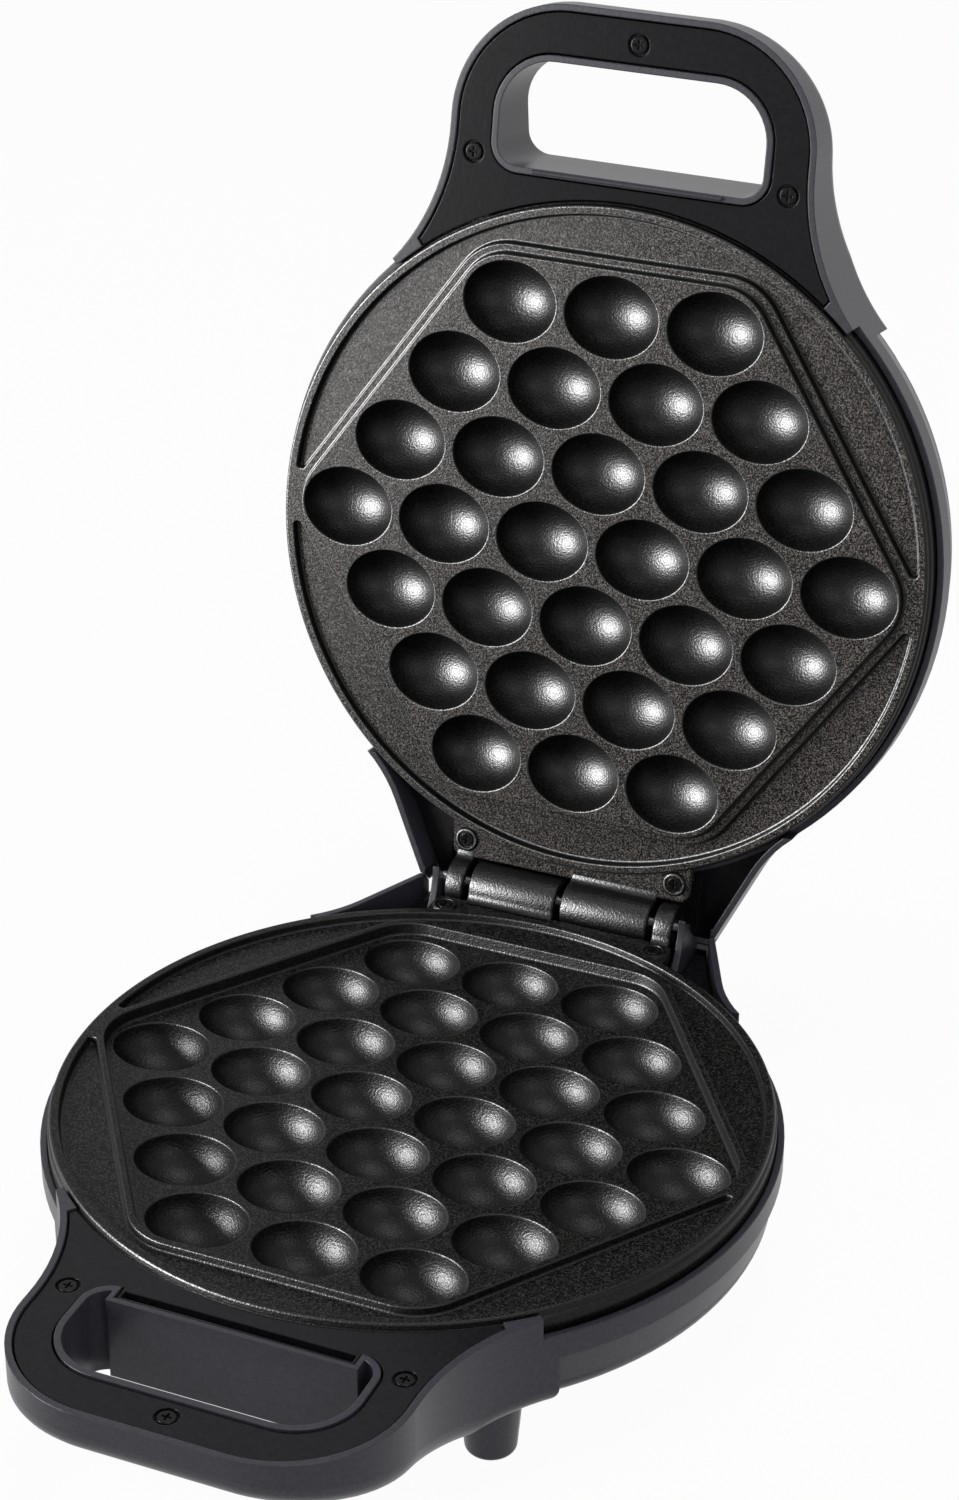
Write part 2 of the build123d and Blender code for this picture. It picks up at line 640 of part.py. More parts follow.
def plate(raised):
    """Cast plate with its field of bubbles, segment recesses, rim, skirt, tab and knuckles."""
    t = PLATE_TOP
    field = t + FIELD_RISE if raised else t - FIELD_SINK
    under = min(field, t - SEGMENT_DROP) - PLATE_T
    rim = RIM_IN_R + RIM_TOP
    s = RIM_SHOULDER
    disc = turned([
        (0, under), (SKIRT_R - SKIRT_T, under), (SKIRT_R - SKIRT_T, -SKIRT_DROP),
        (SKIRT_R, -SKIRT_DROP), (SKIRT_R, -FLANGE_DROP), (rim + s, -FLANGE_DROP),
        (rim + s, t - s), (rim, t), (0, t),
    ], ((6, (rim, t - s)),))
    ring = slab(Circle(HEATER_R + HEATER_SEAT_W / 2), -HEATER_Z, under)
    ring -= rod(HEATER_R - HEATER_SEAT_W / 2, -BODY_DEPTH, 0)
    pads = [rod(CLAMP_PAD_R, -HEATER_Z - HEATER_TUBE, under, x, y)
            for x, y in ring_spots(HEATER_R - CLAMP_SCREW_IN, CLAMP_TURNS)]
    pads.append(rod(THERMO_PAD_R, -HEATER_Z, under))
    crown = min(field, t) - field - PLATE_T / 2      # keeps the bubbles' backs inside the casting
    bulge = bubble(BUBBLE_WALL) & block(-REACH, REACH, -REACH, REACH, -REACH, crown)
    bulges = [Pos(x, y, field) * bulge for x, y in bubble_spots()]
    body = disc.fuse(ring, *pads, *bulges)
    body -= Pos(0, 0, -HEATER_Z) * Torus(HEATER_R, HEATER_TUBE + HEATER_GAP)

    tab = block(-TAB_HALF, TAB_HALF, 0, TAB_END, TAB_TOP - TAB_T, TAB_TOP) - rod(RIM_IN_R + EPS, -BODY_DEPTH, 0)
    tab = tab.fuse(*[rod(RING_R, TAB_TOP - EPS, TAB_TOP + RING_RISE, x, y) for x, y in hinge_spots()])
    knuckles = []
    for x0, x1 in ((-LONG_END, -KNUCKLE_GAP / 2), (SHORT_END - KNUCKLE_LEN, SHORT_END)):
        knuckles.append(Pos(0, HINGE_Y, 0) * Rot(0, 90, 0) * rod(BARREL_R, x0, x1))
        knuckles.append(block(x0, x1, TAB_END - EPS, HINGE_Y, TAB_TOP - TAB_T, TAB_TOP))
    lugs = []
    for side in (LUG_TURN, 180 - LUG_TURN):
        bar = block(SKIRT_R - SKIRT_T / 2, LUG_REACH, -LUG_R, LUG_R, -LUG_TOP - LUG_T, -LUG_TOP)
        bar += rod(LUG_R, -LUG_TOP - LUG_T, -LUG_TOP, LUG_REACH)
        lugs.append(Rot(0, 0, -side) * bar)
    body = body.fuse(tab, *knuckles, *lugs)

    if raised:
        body += slab(hexagon(FIELD_SIDE, FIELD_END), t - EPS, field)
        outer = hexagon(BAND_SIDE, BAND_END)
    else:
        body -= slab(hexagon(WELL_SIDE, WELL_END), field, 0)
        outer = hexagon(RIDGE_SIDE, RIDGE_END)
    segment = Circle(RIM_IN_R) - outer
    segment = segment & Pos(0, TIP_Y + REACH / 2) * Rectangle(REACH, REACH)
    tips = segment.vertices().sort_by(Axis.Y)[:4]
    rear = slab(fillet(tips, TIP_R), t - SEGMENT_DROP, 0)
    cells = [Pos(x, y, field) * bubble(0) for x, y in bubble_spots()]
    body = body.cut(rear, mirror(rear, Plane.XZ), *cells)

    holes = [Pos(0, HINGE_Y, 0) * Rot(0, 90, 0) * rod(PIN_R + PIN_RUN, -REACH, REACH)]
    for x, y in hinge_spots():
        top = TAB_TOP + RING_RISE
        holes.append(rod(RING_BORE_R, top - RING_BORE_H, top, x, y))
        holes.append(rod(SHANK_R + SHANK_FIT, TAB_TOP - TAB_T, top, x, y))
    for x, y in lug_spots():
        holes.append(rod(SHANK_R + SHANK_FIT, -BODY_DEPTH, 0, x, y))
    for x, y in ring_spots(HEATER_R - CLAMP_SCREW_IN, CLAMP_TURNS):
        low = -HEATER_Z - HEATER_TUBE
        holes.append(rod(SHANK_R + SHANK_FIT, low, low + SHANK_L / 2, x, y))
    return body.cut(*holes)


def heater():
    """Tubular element, open at the rear, with a terminal at each end."""
    turn = 90 + HEATER_OPEN / 2
    face = Plane.XZ * Pos(HEATER_R, -HEATER_Z) * Circle(HEATER_TUBE)
    tube = Rot(0, 0, turn) * revolve(face, Axis.Z, 360 - HEATER_OPEN)
    for x, y in ring_spots(HEATER_R, (turn + 1, 180 - turn - 1)):
        tube += rod(TERMINAL_R, -HEATER_Z - TERMINAL_L, -HEATER_Z, x, y)
    return tube


def clamps():
    low = -HEATER_Z - HEATER_TUBE
    out = []
    for a in CLAMP_TURNS:
        x0 = HEATER_R - CLAMP_SCREW_IN - CLAMP_W / 2
        strap = block(x0, x0 + CLAMP_L, -CLAMP_W / 2, CLAMP_W / 2, low - CLAMP_T, low)
        strap -= rod(SHANK_R + SHANK_FIT, -BODY_DEPTH, 0, HEATER_R - CLAMP_SCREW_IN)
        out.append(Rot(0, 0, a) * strap)
    return out


def clamp_screws():
    low = HEATER_Z + HEATER_TUBE + CLAMP_T
    return [Rot(180, 0, 0) * screw(SMALL_HEAD_R, HEAD_H, SHANK_L / 2, x, -y, low)
            for x, y in ring_spots(HEATER_R - CLAMP_SCREW_IN, CLAMP_TURNS)]


def reflector():
    r, t, z = REFLECTOR_R, REFLECTOR_T, -REFLECTOR_Z
    pan = turned([(REFLECTOR_HOLE_R, z), (r, z), (r, z + REFLECTOR_RISE),
                  (r - t, z + REFLECTOR_RISE), (r - t, z + t), (REFLECTOR_HOLE_R, z + t)])
    return pan - block(-GATE_HALF, GATE_HALF, 0, REACH, z + t, 0)


def thermostat():
    low = -HEATER_Z - THERMO_H
    body = rod(THERMO_R, low, -HEATER_Z)
    for side in (1, -1):
        body += block(*sorted((0, side * THERMO_PAD_R)), -TERMINAL_R, TERMINAL_R, low - REFLECTOR_T, low)
    return body


def thermal_fuse():
    z = -REFLECTOR_Z + REFLECTOR_T + FUSE_R
    return Pos(0, FUSE_Y, z) * Rot(0, 90, 0) * Cylinder(FUSE_R, FUSE_L)


def leads():
    """Two wires from the element's terminals to the terminal block, over the reflector's edge."""
    out = []
    z = -HEATER_Z - TERMINAL_L
    for side in (1, -1):
        x, y = ring_spots(HEATER_R, (90 - side * (HEATER_OPEN / 2 + 1),))[0]
        y += TERMINAL_R + LEAD_R
        end = (side * LEAD_SPREAD, BLOCK_Y - BLOCK_SIZE[1] / 2, z - LEAD_R)
        start = (x, y - TERMINAL_R - LEAD_R, z - LEAD_R)
        path = Spline(start, end, tangents=[(0, 1, 0), (0, 1, 0)])
        out.append(sweep(Plane(origin=start, z_dir=(0, 1, 0)) * Circle(LEAD_R), path=path))
    return out


def terminal_block():
    w, d, h = BLOCK_SIZE
    low = -BODY_DEPTH + CASING_WALL
    body = block(-w / 2, w / 2, BLOCK_Y - d / 2, BLOCK_Y + d / 2, low, low + h)
    for side in (1, -1):
        body -= rod(SHANK_R, low + h / 2, low + h, side * LEAD_SPREAD, BLOCK_Y)
    return body


def foot_pads():
    return [rod(PAD_R, -REST_H, -REST_H + PAD_PROUD + PAD_SUNK, x, y) for x, y in feet_spots()]


def half_pieces():
    """Pieces that both halves have."""
    seat = -COVER_DROP - RECESS_H
    tab_z = TAB_TOP + RING_RISE - RING_BORE_H
    return {
        "handle_screws": [screw(HEAD_R, HEAD_H, SHANK_L, x, y, seat) for x, y in COVER_SCREWS],
        "hinge_screws": [screw(SMALL_HEAD_R, RING_BORE_H, SHANK_L, x, y, tab_z) for x, y in hinge_spots()],
        "front_screws": [screw(SMALL_HEAD_R, HEAD_H, SHANK_L, x, y, -LUG_TOP) for x, y in lug_spots()],
        "heater": heater(),
        "heater_clamps": clamps(),
        "clamp_screws": clamp_screws(),
        "reflector": reflector(),
        "thermostat": thermostat(),
        "thermal_fuse": thermal_fuse(),
        "rear_cover": rear_cover(),
        "terminal_block": terminal_block(),
        "leads": leads(),
    }


def base_pieces():
    return {
        "lower_casing": base_casing(),
        "lower_plate": plate(False),
        "lower_handle_cover": handle_cover(True),
        "hinge_pin": pin_rod(PIN_R),
        "cord_inlet": cord_inlet(),
        "foot_pads": foot_pads(),
    }


def lid_pieces():
    return {
        "upper_casing": lid_casing(),
        "upper_plate": plate(True),
        "upper_handle_cover": handle_cover(False),
        "lens_heating": lens(1),
        "lens_ready": lens(-1),
        "indicator_lamps": lamps(),
    }


def placed(shape, place):
    """One solid, or a group of the separate solids of like pieces."""
    items = shape if isinstance(shape, (list, ShapeList)) else [shape]
    solids = [place * s for item in items for s in item.solids()]
    return solids[0] if len(solids) == 1 else Compound(children=solids)


# The base lies as drawn; the lid is a turned-over half, swung open about the hinge
base_place = Pos(0, 0, REST_H)
swing = Pos(0, HINGE_Y, REST_H) * Rot(-OPEN_ANGLE, 0, 0) * Pos(0, -HINGE_Y, 0)
lid_place = swing * Rot(0, 180, 0)

common = half_pieces()
nodes = {"lower_" + name: placed(shape, base_place) for name, shape in common.items()}
nodes.update({"upper_" + name: placed(shape, lid_place) for name, shape in common.items()})
nodes.update({name: placed(shape, base_place) for name, shape in base_pieces().items()})
nodes.update({name: placed(shape, lid_place) for name, shape in lid_pieces().items()})

# The origin is the middle of the open object's footprint, at table height
back = nodes["upper_casing"].bounding_box().max.Y
centre = Pos(0, (HANDLE_END - back) / 2, 0)
for name, shape in nodes.items():
    export_step(centre * shape, "parts/" + name + ".step")
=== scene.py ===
import json
from math import acos, asin, atan2, cos, pi, radians, sin, sqrt

import bmesh
import bpy
import numpy as np
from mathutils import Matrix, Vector
from mathutils.geometry import delaunay_2d_cdt


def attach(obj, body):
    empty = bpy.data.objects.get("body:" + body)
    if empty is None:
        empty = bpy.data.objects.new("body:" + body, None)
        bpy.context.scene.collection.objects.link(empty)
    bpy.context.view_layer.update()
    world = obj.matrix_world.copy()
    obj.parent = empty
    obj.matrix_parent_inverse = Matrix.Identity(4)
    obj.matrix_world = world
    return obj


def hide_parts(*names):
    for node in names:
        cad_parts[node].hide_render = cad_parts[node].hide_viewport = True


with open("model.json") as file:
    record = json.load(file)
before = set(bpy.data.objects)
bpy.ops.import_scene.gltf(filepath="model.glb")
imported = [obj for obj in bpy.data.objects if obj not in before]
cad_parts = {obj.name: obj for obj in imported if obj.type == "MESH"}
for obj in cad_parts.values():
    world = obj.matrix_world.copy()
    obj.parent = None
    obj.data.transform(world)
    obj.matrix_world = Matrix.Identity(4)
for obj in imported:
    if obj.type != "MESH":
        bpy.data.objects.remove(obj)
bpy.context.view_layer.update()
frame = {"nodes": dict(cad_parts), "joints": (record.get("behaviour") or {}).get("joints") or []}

# Camera. It looks at the open maker from the front right and above, at the photograph's angle, and its
# lens is given for the height of the frame. Lengths and places are in metres, the lens in millimetres.
EYE = Vector((0.3550, -0.787633, 0.6428))
SIGHT = Vector((-0.346, 0.8043, -0.4831))
LENS, FRAME_HEIGHT = 55.485, 24.0

lens = bpy.data.cameras.new("camera")
lens.sensor_fit = "VERTICAL"
lens.sensor_height = FRAME_HEIGHT
lens.lens = LENS
camera = bpy.data.objects.new("camera", lens)
camera.location = EYE
camera.rotation_euler = SIGHT.to_track_quat("-Z", "Y").to_euler()
bpy.context.collection.objects.link(camera)
bpy.context.scene.camera = camera
bpy.context.scene.view_settings.view_transform = "Standard"

# Studio. A white room, seen as white by the eye and in reflections, that gives the object only a weak
# even light. Three soft boxes light it from the left, the right and above.
WHITE = (1, 1, 1, 1)
EVEN_LIGHT = 0.28               # strength of the room's light on the object


def shown_white(tree, lit, white):
    """White shader to camera, glossy and see-through rays, and the lit one to the rest: the factor that
    mixes them is the greatest of those three kinds of ray."""
    rays = tree.nodes.new("ShaderNodeLightPath")
    factor = rays.outputs["Is Camera Ray"]
    for kind in ("Is Glossy Ray", "Is Transmission Ray"):
        either = tree.nodes.new("ShaderNodeMath")
        either.operation = "MAXIMUM"
        tree.links.new(factor, either.inputs[0])
        tree.links.new(rays.outputs[kind], either.inputs[1])
        factor = either.outputs[0]
    mix = tree.nodes.new("ShaderNodeMixShader")
    tree.links.new(factor, mix.inputs[0])
    tree.links.new(lit.outputs[0], mix.inputs[1])
    tree.links.new(white.outputs[0], mix.inputs[2])
    return mix


def soft_box(place, aim, side, power, gloss_only=False, lit_pieces=None):
    """Square lamp of a side in metres and a power in watts, turned from its place to its aim. It can
    be left out of diffuse light, so that it only shines in gloss, and can light one collection alone."""
    light = bpy.data.lights.new("softbox", "AREA")
    light.size = side
    light.energy = power
    lamp = bpy.data.objects.new("softbox", light)
    lamp.location = place
    lamp.visible_diffuse = not gloss_only
    lamp.visible_camera = False
    if lit_pieces is not None:
        lamp.light_linking.receiver_collection = lit_pieces
    lamp.rotation_euler = (Vector(aim) - Vector(place)).to_track_quat("-Z", "Y").to_euler()
    bpy.context.collection.objects.link(lamp)


world = bpy.data.worlds.new("studio")
bpy.context.scene.world = world
world.use_nodes = True
tree = world.node_tree
room = tree.nodes["Background"]
room.inputs["Color"].default_value = WHITE
room.inputs["Strength"].default_value = EVEN_LIGHT
sky = tree.nodes.new("ShaderNodeBackground")
sky.inputs["Color"].default_value = WHITE
mix = shown_white(tree, room, sky)
tree.links.new(mix.outputs[0], tree.nodes["World Output"].inputs[0])

soft_box(place=(-1.15, -0.62, 0.60), aim=(0, 0, 0.2), side=0.50, power=8.0)
soft_box(place=(0.1, 0.0, 1.5), aim=(0, 0, 0.1), side=0.60, power=8.0)
soft_box(place=(0.9, -0.9, 0.7), aim=(0, 0, 0.2), side=0.50, power=4.0)

# Gloss card. A bright card at the front left, which the glossy coating of the plates mirrors as the
# long highlights in their bowls. It is strong for the plates alone, and weak for the rest.
CARD = {"place": (-1.03, -0.90, 0.38), "aim": (0, 0, 0.25), "side": 0.65, "gloss_only": True}

glossy_plates = bpy.data.collections.new("lit by the card")
soft_box(**CARD, power=290.0, lit_pieces=glossy_plates)
soft_box(**CARD, power=45.0)

# Floor. A plain sheet that reaches past the horizon of every view, and counts as pale grey paint for the
# light. To the eye it glows nearly white, and the small rest keeps a trace of the object's shadow.
FLOOR_REACH = 40.0
FLOOR_GREY, FLOOR_ROUGH = (0.6, 0.6, 0.6, 1), 0.9
FLOOR_GLOW = 0.96               # share of white in what the eye sees

corners = [(x * FLOOR_REACH, y * FLOOR_REACH, 0) for x, y in ((-1, -1), (1, -1), (1, 1), (-1, 1))]
floor_mesh = bpy.data.meshes.new("floor")
floor_mesh.from_pydata(corners, [], [(0, 1, 2, 3)])
floor = bpy.data.objects.new("floor", floor_mesh)
bpy.context.collection.objects.link(floor)
paint = bpy.data.materials.new("floor")
paint.use_nodes = True
tree = paint.node_tree
matt = tree.nodes["Principled BSDF"]
matt.inputs["Base Color"].default_value = FLOOR_GREY
matt.inputs["Roughness"].default_value = FLOOR_ROUGH
glow = tree.nodes.new("ShaderNodeEmission")
nearly_white = tree.nodes.new("ShaderNodeMixShader")
nearly_white.inputs[0].default_value = FLOOR_GLOW
tree.links.new(matt.outputs[0], nearly_white.inputs[1])
tree.links.new(glow.outputs[0], nearly_white.inputs[2])
mix = shown_white(tree, matt, nearly_white)
tree.links.new(mix.outputs[0], tree.nodes["Material Output"].inputs[0])
floor.data.materials.append(paint)


# Casings. Each half is a shell moulded in satin charcoal thermoset, with the loop handle, the neck and
# the boss pillars in one piece. The mould's fine spark texture scatters the light, and edges catch it.
def grained(name, grain, relief, dark, light, rough, specular, metal=0.0, cuts=(0.3, 0.7), edge=0.0):
    """Material with one shader and a grain, of a size and a relief in metres. Noise at the object's own
    place, between the two cuts, drives the colour from dark to light. It also drives the bump, and the
    roughness where rough is a pair. Edges look rounded to the radius edge."""
    made = bpy.data.materials.new(name)
    made.use_nodes = True
    tree = made.node_tree
    shader = tree.nodes["Principled BSDF"]
    shader.inputs["Specular IOR Level"].default_value = specular
    shader.inputs["Metallic"].default_value = metal

    place = tree.nodes.new("ShaderNodeTexCoord")
    noise = tree.nodes.new("ShaderNodeTexNoise")
    noise.inputs["Scale"].default_value = 1 / grain
    noise.inputs["Detail"].default_value = 2.0
    tree.links.new(place.outputs["Object"], noise.inputs["Vector"])

    ramp = tree.nodes.new("ShaderNodeValToRGB")
    for stop, cut, colour in zip(ramp.color_ramp.elements, cuts, (dark, light)):
        stop.position = cut
        stop.color = (*colour, 1)
    tree.links.new(noise.outputs["Fac"], ramp.inputs["Fac"])
    tree.links.new(ramp.outputs["Color"], shader.inputs["Base Color"])

    bump = tree.nodes.new("ShaderNodeBump")
    bump.inputs["Distance"].default_value = relief
    tree.links.new(noise.outputs["Fac"], bump.inputs["Height"])
    tree.links.new(bump.outputs["Normal"], shader.inputs["Normal"])
    if edge:
        soft = tree.nodes.new("ShaderNodeBevel")
        soft.samples = 6
        soft.inputs["Radius"].default_value = edge
        tree.links.new(soft.outputs["Normal"], bump.inputs["Normal"])

    if isinstance(rough, tuple):
        span = tree.nodes.new("ShaderNodeMapRange")
        span.inputs["To Min"].default_value, span.inputs["To Max"].default_value = rough
        tree.links.new(noise.outputs["Fac"], span.inputs["Value"])
        tree.links.new(span.outputs["Result"], shader.inputs["Roughness"])
    else:
        shader.inputs["Roughness"].default_value = rough
    return made


def dress(made, *nodes):
    """Gives every material slot of these CAD nodes the finish."""
    for node in nodes:
        for slot in frame["nodes"][node].material_slots:
            slot.material = made


charcoal = grained("casing_charcoal", grain=0.0012, relief=0.00003, dark=(0.027, 0.0255, 0.034),
                   light=(0.040, 0.038, 0.049), rough=0.34, specular=0.24, edge=0.0006)
dress(charcoal, "lower_casing", "upper_casing")

# Foot pads. Round pads moulded in black rubber, dull and a little uneven. Each is pressed into the seat
# in one of the base casing's four feet.
rubber = grained("foot_rubber", grain=0.001, relief=0.00005, dark=(0.015, 0.015, 0.015),
                 light=(0.025, 0.025, 0.025), rough=0.8, specular=0.2)
dress(rubber, "foot_pads")

# Inserts. Flat black mouldings that close the handles and the necks, a little below the casing's border,
# and the cord's bush. Their satin face is evenly matt, with a fine edge that catches the light. The rear
# covers are black sheets that fill the casing's hollow behind the plates, where there is shade: their
# black is painted shade.
insert = grained("insert_black", grain=0.0015, relief=0.00002, dark=(0.005, 0.0047, 0.006),
                 light=(0.010, 0.0095, 0.012), rough=0.22, specular=0.11, edge=0.0005)
dress(insert, "cord_inlet", "lower_handle_cover", "upper_handle_cover", "lower_rear_cover",
      "upper_rear_cover")

# Baking plates. Each is one aluminium casting with a grainy non-stick coating: thirty bubbles in a field
# between two sunk segments, a stepped rim with a skirt, and a tab with knuckles for the hinge pin. The
# upper plate's field is a terrace, and closes into the lower plate's, which is a well.

# Sizes are in millimetres, face up about the plate's centre, with the parting plane at height 0.
MM = 0.001
HINGE_AT = 119.9                            # hinge axis behind the plate's centre
LAND = -0.15                                # top of the rim
FIELD_UP, FIELD_DOWN = 2.7, 4.2             # terrace above the land, and well below it
SEGMENT_FLOOR = LAND - 2.6

ROWS = (3, 4, 5, 6, 5, 4, 3)                # bubbles in each row
PITCH, ROW = 33.69, 24.743                  # from bubble to bubble, and from row to row
WIDE, NARROW, TOP = 2.5 * PITCH, PITCH, 3 * ROW     # bubbles at the ends of the long and short rows
BUBBLE = np.array((15.30, 12.60, 12.0))     # half axes of a bubble
LIP = 0.50                                  # rounding of a bubble's lip
BUBBLE_AROUND, BUBBLE_DOWN = 56, 14         # columns and rows of a bowl

# How far an edge lies outside the lines through the outer bubbles, at the field's sides and its ends.
TERRACE_EDGE, TERRACE_SEGMENT = (16.4, 14.7), (19.6, 17.5)
WELL_EDGE, WELL_SEGMENT = (17.4, 16.1), (19.6, 18.7)
WALL_LEAN = 0.15                            # draft of the field's and the segments' walls
TOP_ROUND, FOOT_ROUND, ROUND_ROWS = 0.5, 0.75, 6
TIP_LINE, TIP_ROUND = 9.0, 1.0              # square ends of a segment, from the plate's middle line

RIM_INSIDE, RIM_OUTSIDE, SHOULDER = 104.6, 106.8, 0.8
FLANGE_LOW, FLANGE_BREAK = -2.6, 0.3        # underside of the rim's shoulder, and its small edges
FLANGE_HOLLOW = (0.1, 0.05)                 # middle of the hollow between them, out and up
SKIRT_LOW, SKIRT_INSIDE, SKIRT_OUTSIDE = -9.4, 105.8, 108.2
AROUND = 300                                # columns round the rim

PLATE_THICK, BUBBLE_SKIN = 3.4, 2.3
HEATER_RING, HEATER_HALF = 62.0, 4.5        # ring for the heater: middle radius and half width
HEATER_LOW, HEATER_TUBE = -20.8, 3.35       # its face, and the radius of the groove in it
MIDDLE_PAD = 9.5                            # pad for the thermostat
HIDDEN_ROWS = 76

FEWEST, CHORD = 7, 2.0                      # least points on an arc, and the step along a long one
CORNER_ROWS = 5                             # rows of a small rounded edge
SAME_POINT, MERGED = 1e-7, 0.002            # how near two points of a sheet or a casting count as one
UPRIGHT = 0.9999                            # least cosine between upright and a level face's normal

hinge = frame["joints"][0]
axis_y, axis_z = (v / MM for v in hinge["pos_m"][1:])
opened = radians(hinge["range_deg"][1])

bubbles = np.concatenate([
    np.stack([(np.arange(n) - (n - 1) / 2) * PITCH, np.full(n, (i - len(ROWS) // 2) * ROW)], 1)
    for i, n in enumerate(ROWS)
])


def on_base(p):
    """Half to base: moved so that the hinge's line is on the joint."""
    return np.stack([p[:, 0], p[:, 1] - HINGE_AT + axis_y, p[:, 2] + axis_z], 1)


def on_lid(p):
    """Half to lid: turned over about y, then swung open about the joint by its full range."""
    y, z = p[:, 1] - HINGE_AT, -p[:, 2]
    c, s = cos(-opened), sin(-opened)
    return np.stack([-p[:, 0], axis_y + y * c - z * s, axis_z + y * s + z * c], 1)


def circle(columns):
    """Points of a circle of radius 1, (cos a, sin a) for even steps of a. They are its normals too."""
    a = np.arange(columns) * 2 * pi / columns
    return np.stack([np.cos(a), np.sin(a)], 1)


def arcs(*runs, chord=CHORD):
    """Closed outline of arcs joined by straight lines, as points and outward normals. Each run is a
    centre, a radius, two angles and a way, which is -1 where the arc is hollow: points are
    centre + radius * (cos, sin), normals way * (cos, sin)."""
    points, normals = [], []
    for centre, radius, start, end, way in runs:
        steps = max(FEWEST, int(abs(end - start) * radius / chord) + 1) if end != start else 1
        a = np.linspace(start, end, steps)
        ray = np.stack([np.cos(a), np.sin(a)], 1)
        points.append(np.array(centre) + radius * ray)
        normals.append(way * ray)
    return np.concatenate(points), np.concatenate(normals)


def woven(grid):
    """Quads between the rows of a grid of points, whose columns close round."""
    rows, columns = grid.shape[:2]
    i = np.arange(rows * columns).reshape(rows, columns)
    j = np.roll(i, -1, 1)
    return grid.reshape(-1, 3), np.stack([i[:-1], j[:-1], j[1:], i[1:]], -1).reshape(-1, 4)


def carried(outline, profile):
    """Wall round an outline: row k is outline + profile[k][0] * normal, at height profile[k][1]."""
    points, normals = outline
    out, height = np.array(profile).T
    flat = points + out[:, None, None] * normals
    return woven(np.dstack([flat, np.broadcast_to(height[:, None], flat.shape[:2])]))


def turned(profile, columns=AROUND):
    """Profile of (radius, height) turned about z: row k is (radius cos a, radius sin a, height)."""
    return carried((np.zeros((columns, 2)), circle(columns)), profile)


def within(points, outline):
    """Whether each point lies inside an outline: a ray to its right crosses it an odd number of times."""
    x, y = points.T[:, :, None]
    (x0, y0), (x1, y1) = outline.T, np.roll(outline, -1, 0).T
    level_run = y0 == y1
    meets = x0 + (y - y0) * (x1 - x0) / np.where(level_run, 1, y1 - y0)
    return (((y0 > y) != (y1 > y)) & (meets > x)).sum(1) % 2 == 1


def level(height, *outlines):
    """Level sheet inside the first outline and outside the rest, as triangles between their points."""
    starts = np.cumsum([0] + [len(outline) for outline in outlines])
    edges = np.concatenate([
        np.stack([np.arange(a, b), np.roll(np.arange(a, b), -1)], 1)
        for a, b in zip(starts, starts[1:])
    ])
    points = [Vector(p) for p in np.concatenate(outlines)]
    found = delaunay_2d_cdt(points, edges.tolist(), [], 0, SAME_POINT)
    flat, faces = np.array([tuple(v) for v in found[0]]), np.array(found[2])
    middle = flat[faces].mean(1)
    keep = within(middle, outlines[0])
    for hole in outlines[1:]:
        keep &= ~within(middle, hole)
    return np.column_stack([flat, np.full(len(flat), height)]), faces[keep]


def repeated(shape, places):
    """The same shape set down at each place."""
    points, faces = shape
    shift = np.column_stack([places, np.zeros(len(places))])
    steps = np.arange(len(places))[:, None, None] * len(points)
    return (points + shift[:, None]).reshape(-1, 3), (faces + steps).reshape(-1, faces.shape[1])


def mirrored(shape):
    """The shape with its y turned round."""
    points, faces = shape
    return points * (1, -1, 1), faces


def rounded_edge(outside, top, radius, rows=CORNER_ROWS):
    """Profile over a rounded top edge, a quarter circle from its top to its outside."""
    a = np.linspace(pi / 2, 0, rows)
    return list(zip(outside + radius * (np.cos(a) - 1), top - radius * (1 - np.sin(a))))


def wall(high, low):
    """Profile down a leaning wall into a sunk place, a quarter circle over its top edge and a hollow one
    at its foot. Distances grow towards the sunk side, from 0 where the sharp top edge would be."""
    a = np.linspace(0, pi / 2, ROUND_ROWS)
    foot = zip(WALL_LEAN + FOOT_ROUND * (1 - np.cos(a)), low + FOOT_ROUND * (1 - np.sin(a)))
    return [*rounded_edge(0, high, TOP_ROUND, ROUND_ROWS), *foot]


def slab(outline, low, high, radius, *bores):
    """Closed slab over an outline, with its top edge rounded and its bottom edge like it, turned over.
    Each bore is an outline like the slab's, whose wall runs straight from bottom to top."""
    over = rounded_edge(0, high, radius)
    under = [(out, low + high - height) for out, height in over]
    points, normals = outline
    face = [points - radius * normals, *(bore[0] for bore in bores)]
    return [carried(outline, under + over[::-1]), level(low, *face), level(high, *face),
            *(carried(bore, [(0, low), (0, high)]) for bore in bores)]


def field_corner(side, end):
    """Centre of a field edge's corner by a short row's last bubble, as x and y, and the side's lean. The
    bubble's own centre slides along the side's line until the end is as far off as it has to be."""
    narrow = NARROW + (side - end) * (WIDE - NARROW) / TOP
    top = TOP - (side - end)
    return narrow, top, atan2(WIDE - narrow, top)


def hexagon(side, end):
    """Outline of a field: six arcs of radius side, joined by its four sides and two ends."""
    narrow, top, lean = field_corner(side, end)
    corners = [(WIDE, 0), (narrow, top), (-narrow, top), (-WIDE, 0), (-narrow, -top), (narrow, -top)]
    faces = [-lean, lean, pi / 2, pi - lean, pi + lean, 3 * pi / 2, 2 * pi - lean]
    return arcs(*[(c, side, a, b, 1) for c, a, b in zip(corners, faces, faces[1:])])


